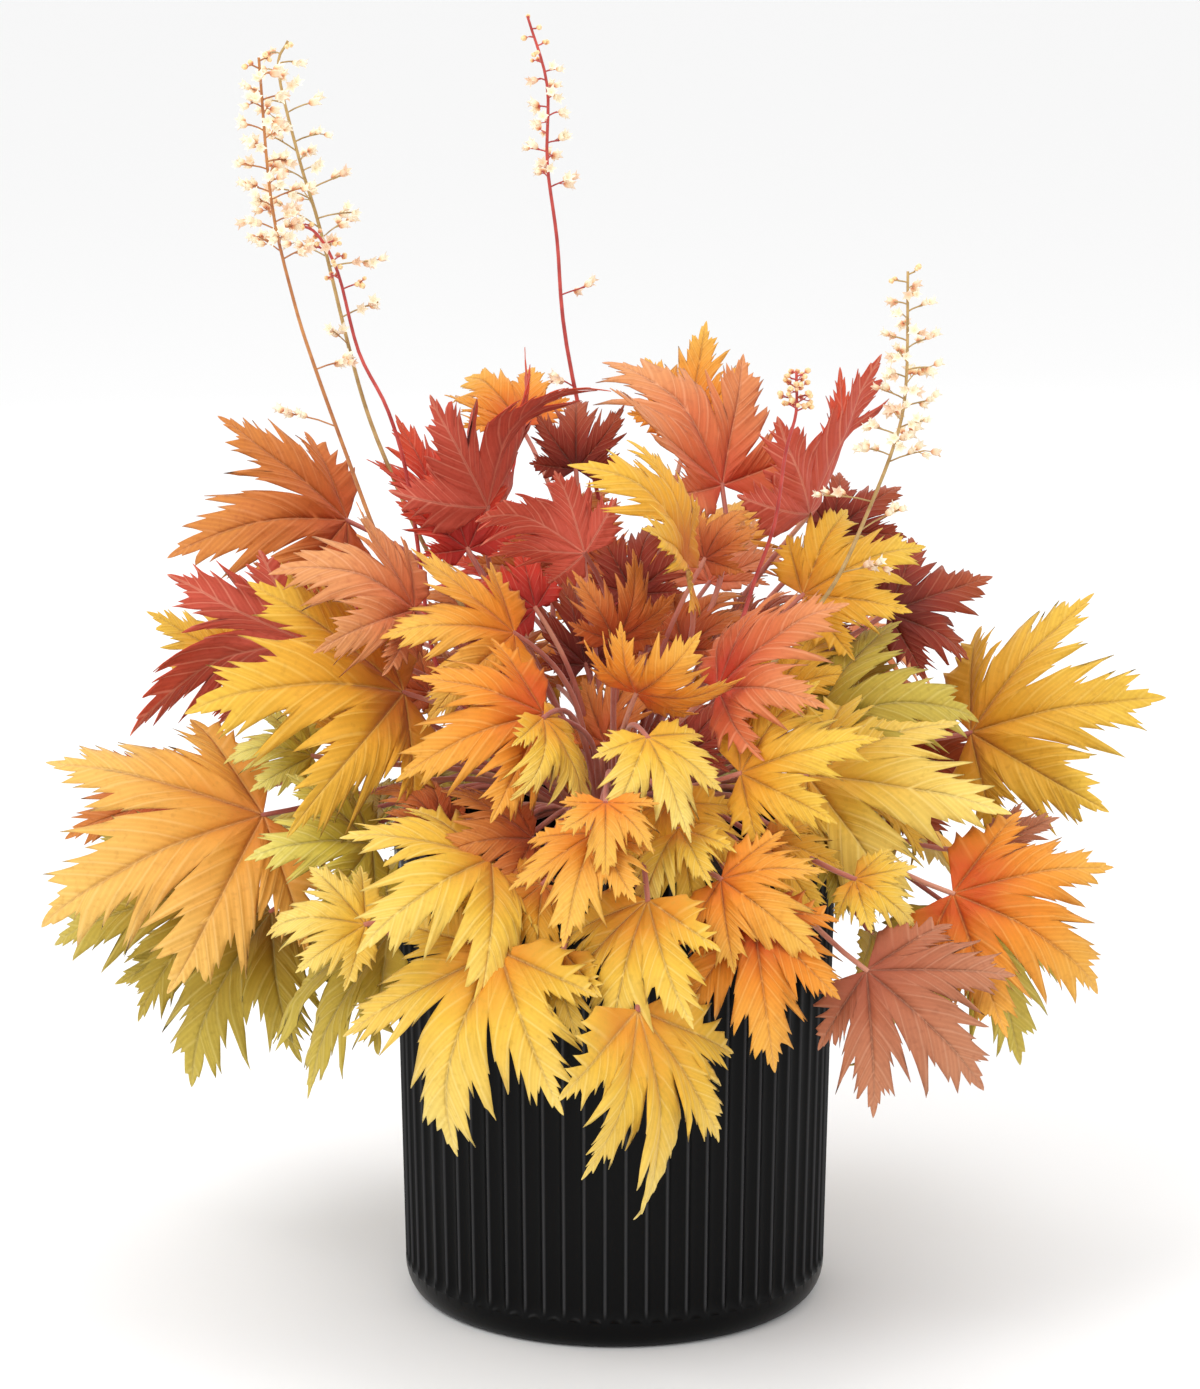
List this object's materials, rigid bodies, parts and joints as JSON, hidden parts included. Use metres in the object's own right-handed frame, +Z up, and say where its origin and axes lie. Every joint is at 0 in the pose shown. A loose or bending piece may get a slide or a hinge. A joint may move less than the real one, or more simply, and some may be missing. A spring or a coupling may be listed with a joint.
{
  "type": "potted heuchera",
  "caption": "Potted garden perennial: a dense mound of lobed, toothed leaves in reds, oranges and yellows with slender flower spikes, in a round fluted pot.",
  "frame": {"origin": "middle of the pot's underside, on the floor", "axes": "+Z up along the pot's axis; -Y towards the side of the plant that the picture shows; +X to that side's right"},
  "size_m": [0.5776, 0.4905, 0.6452],
  "materials": {
    "pot": "satin black glaze",
    "soil": "loose dark potting soil",
    "crown": "rough bark",
    "flower_stem": "matte plant stem with small cream flowers",
    "leaf_red": "matte, finely hairy leaf",
    "leaf_maroon": "matte, finely hairy leaf",
    "leaf_ember": "matte, finely hairy leaf",
    "leaf_salmon": "matte, finely hairy leaf",
    "leaf_orange": "matte, finely hairy leaf",
    "leaf_peach": "matte, finely hairy leaf",
    "leaf_gold": "matte, finely hairy leaf",
    "leaf_yellow": "matte, finely hairy leaf",
    "leaf_lime": "matte, finely hairy leaf",
    "leaf_olive": "matte, finely hairy leaf",
    "leaf_mauve": "matte, finely hairy leaf"
  },
  "bodies": {
    "root": {"crown": "crown", "flower_stem_centre": "flower_stem", "flower_stem_curved": "flower_stem", "flower_stem_left": "flower_stem", "flower_stem_rear": "flower_stem", "flower_stem_right": "flower_stem", "flower_stem_short": "flower_stem", "leaf_back_left_lower": "leaf_olive", "leaf_back_left_upper": "leaf_ember", "leaf_back_middle_lower": "leaf_yellow", "leaf_back_middle_upper": "leaf_orange", "leaf_back_right_lower": "leaf_gold", "leaf_back_right_upper": "leaf_salmon", "leaf_back_top_left": "leaf_ember", "leaf_back_top_right": "leaf_orange", "leaf_ember": "leaf_ember", "leaf_fan_left": "leaf_red", "leaf_far_left": "leaf_ember", "leaf_far_right": "leaf_gold", "leaf_funnel": "leaf_gold", "leaf_inner_left": "leaf_red", "leaf_inner_right": "leaf_ember", "leaf_left_ember": "leaf_ember", "leaf_left_ember_low": "leaf_ember", "leaf_left_fold": "leaf_gold", "leaf_left_gold": "leaf_gold", "leaf_left_orange": "leaf_orange", "leaf_left_salmon": "leaf_salmon", "leaf_rear_left": "leaf_orange", "leaf_rear_right": "leaf_orange", "leaf_right_brown": "leaf_maroon", "leaf_right_dark": "leaf_maroon", "leaf_right_gold": "leaf_gold", "leaf_right_maroon": "leaf_maroon", "leaf_right_mauve": "leaf_mauve", "leaf_salmon": "leaf_salmon", "leaf_top_left": "leaf_red", "leaf_top_middle": "leaf_maroon", "leaf_top_orange": "leaf_salmon", "leaf_top_right": "leaf_red", "leaves_big_left": "leaf_peach", "leaves_big_right": "leaf_orange", "leaves_centre": "leaf_orange", "leaves_centre_right": "leaf_yellow", "leaves_front_left": "leaf_yellow", "leaves_front_low": "leaf_yellow", "leaves_front_right": "leaf_orange", "leaves_left": "leaf_red", "leaves_left_pale": "leaf_lime", "leaves_low_right": "leaf_mauve", "leaves_right": "leaf_olive", "pot": "pot", "soil": "soil"}
  },
  "joints": []
}
